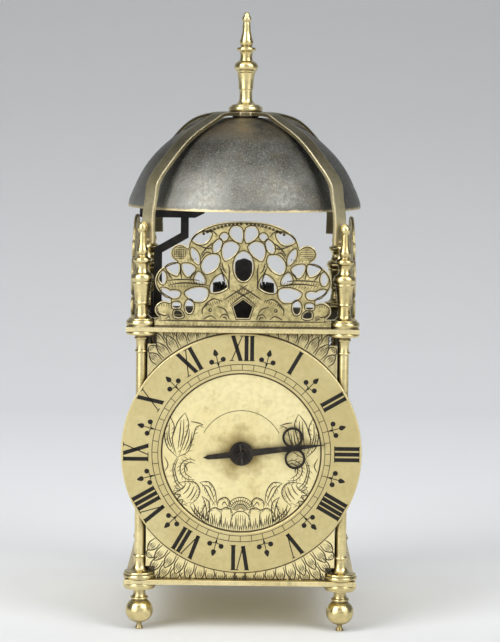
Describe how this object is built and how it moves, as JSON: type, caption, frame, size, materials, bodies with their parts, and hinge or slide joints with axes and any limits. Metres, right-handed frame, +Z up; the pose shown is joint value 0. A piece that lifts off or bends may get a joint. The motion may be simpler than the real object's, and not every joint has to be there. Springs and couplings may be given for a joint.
{
  "type": "lantern clock",
  "caption": "Brass lantern clock with pierced frets, a bell on crossed straps, one hand, a verge escapement with bob pendulum and countwheel striking.",
  "frame": {"origin": "on the floor, at the bottom centre of the clock's box; the posted frame's own upright axis stands 8.05 mm in front of it", "axes": "+Z up, -Y towards the dial and the viewer, +X to the viewer's right"},
  "size_m": [0.1528, 0.17, 0.3946],
  "materials": {
    "brass": "old polished cast brass",
    "dial_brass": "grained, pale, engraved and waxed",
    "wheel_brass": "turned and filed",
    "bell_metal": "dark patinated bell bronze",
    "iron": "forged and blackened",
    "steel": "filed and dulled",
    "blued_steel": "dark blued",
    "leather": "old washer leather"
  },
  "bodies": {
    "frame": {"foot_front_left": "brass", "foot_front_right": "brass", "foot_rear_left": "brass", "foot_rear_right": "brass", "pillar_front_left": "brass", "pillar_front_right": "brass", "pillar_rear_left": "brass", "pillar_rear_right": "brass", "finial_front_left": "brass", "finial_front_right": "brass", "finial_rear_left": "brass", "finial_rear_right": "brass", "bottom_plate": "brass", "top_plate": "brass", "bell": "bell_metal", "bell_washer": "leather", "bell_nut": "iron", "bell_straps": "brass", "top_finial": "brass", "fret_front": "brass", "fret_left": "brass", "fret_right": "brass", "plate_screws": "steel", "dial_plate": "brass", "chapter_ring": "dial_brass", "chapter_ring_pins": "steel", "front_bar": "iron", "middle_bar": "iron", "rear_bar": "iron", "potence": "brass", "verge_front_cock": "iron", "verge_back_cock": "brass", "countwheel_stud": "steel", "hammer_spring": "steel", "hammer_stop": "iron", "back_plate": "iron", "hanging_hoop": "iron", "spurs": "iron"},
    "contrate": {"contrate_wheel": "wheel_brass"},
    "going_great": {"going_great_wheel": "wheel_brass", "going_pulley": "wheel_brass"},
    "hour": {"hour_wheel": "wheel_brass"},
    "hand": {"hand": "blued_steel", "hand_arbor": "steel", "hand_pin": "steel"},
    "crown": {"crown_wheel": "wheel_brass"},
    "pendulum": {"verge": "steel", "pendulum_rod": "steel", "pendulum_bob": "wheel_brass"},
    "strike_great": {"strike_great_wheel": "wheel_brass", "strike_pulley": "wheel_brass"},
    "locking": {"locking_wheel": "wheel_brass"},
    "warning": {"warning_wheel": "wheel_brass"},
    "fly": {"fly": "wheel_brass"},
    "countwheel": {"countwheel": "wheel_brass"},
    "lifting": {"lifting_lever": "iron"},
    "hammer": {"hammer": "iron"},
    "door_left": {"door_left": "brass"},
    "door_right": {"door_right": "brass"}
  },
  "joints": [
    {"name": "contrate_turn", "type": "hinge", "parent": "frame", "child": "contrate", "pos_m": [0, -0.00805, 0.1062], "axis": [0, 1, 0], "continuous": true},
    {"name": "going_great_turn", "type": "hinge", "parent": "frame", "child": "going_great", "pos_m": [0, -0.00805, 0.075], "axis": [0, 1, 0], "continuous": true},
    {"name": "hour_wheel_turn", "type": "hinge", "parent": "frame", "child": "hour", "pos_m": [0, -0.05805, 0.1142], "axis": [0, 1, 0], "continuous": true},
    {"name": "hand_turn", "type": "hinge", "parent": "hour", "child": "hand", "pos_m": [0, -0.07805, 0.1142], "axis": [0, 1, 0], "continuous": true},
    {"name": "crown_turn", "type": "hinge", "parent": "frame", "child": "crown", "pos_m": [0, -0.02697, 0.206], "axis": [0, 0, 1], "continuous": true},
    {"name": "verge_swing", "type": "hinge", "parent": "frame", "child": "pendulum", "pos_m": [0, 0.01195, 0.222], "axis": [0, 1, 0], "range_deg": [-10, 10]},
    {"name": "warning_turn", "type": "hinge", "parent": "frame", "child": "warning", "pos_m": [0, 0.01395, 0.12095], "axis": [0, 1, 0], "continuous": true},
    {"name": "locking_turn", "type": "hinge", "parent": "frame", "child": "locking", "pos_m": [0, 0.01395, 0.0995], "axis": [0, 1, 0], "continuous": true},
    {"name": "strike_great_turn", "type": "hinge", "parent": "frame", "child": "strike_great", "pos_m": [0, 0.01395, 0.068], "axis": [0, 1, 0], "continuous": true},
    {"name": "fly_turn", "type": "hinge", "parent": "frame", "child": "fly", "pos_m": [0, 0.01395, 0.13715], "axis": [0, 1, 0], "continuous": true},
    {"name": "countwheel_turn", "type": "hinge", "parent": "frame", "child": "countwheel", "pos_m": [0, 0.04195, 0.0904], "axis": [0, 1, 0], "continuous": true},
    {"name": "lifting_lift", "type": "hinge", "parent": "frame", "child": "lifting", "pos_m": [0.044, -0.00805, 0.112], "axis": [0, 1, 0], "range_deg": [0, 8]},
    {"name": "hammer_swing", "type": "hinge", "parent": "frame", "child": "hammer", "pos_m": [-0.046, 0.01395, 0.084], "axis": [0, 1, 0], "range_deg": [0, 10]},
    {"name": "door_left_open", "type": "hinge", "parent": "frame", "child": "door_left", "pos_m": [-0.064, 0.04195, 0.112], "axis": [0, 0, -1], "range_deg": [0, 100]},
    {"name": "door_right_open", "type": "hinge", "parent": "frame", "child": "door_right", "pos_m": [0.064, 0.04195, 0.112], "axis": [0, 0, 1], "range_deg": [0, 100]}
  ],
  "couplings": [
    {"joint": "going_great_turn", "follows": "contrate_turn", "ratio": -0.083333},
    {"joint": "hour_wheel_turn", "follows": "contrate_turn", "ratio": 0.0069444},
    {"joint": "crown_turn", "follows": "contrate_turn", "ratio": -12},
    {"joint": "locking_turn", "follows": "warning_turn", "ratio": -0.1},
    {"joint": "strike_great_turn", "follows": "warning_turn", "ratio": 0.0076923},
    {"joint": "fly_turn", "follows": "warning_turn", "ratio": -8},
    {"joint": "countwheel_turn", "follows": "warning_turn", "ratio": -0.0012821}
  ]
}
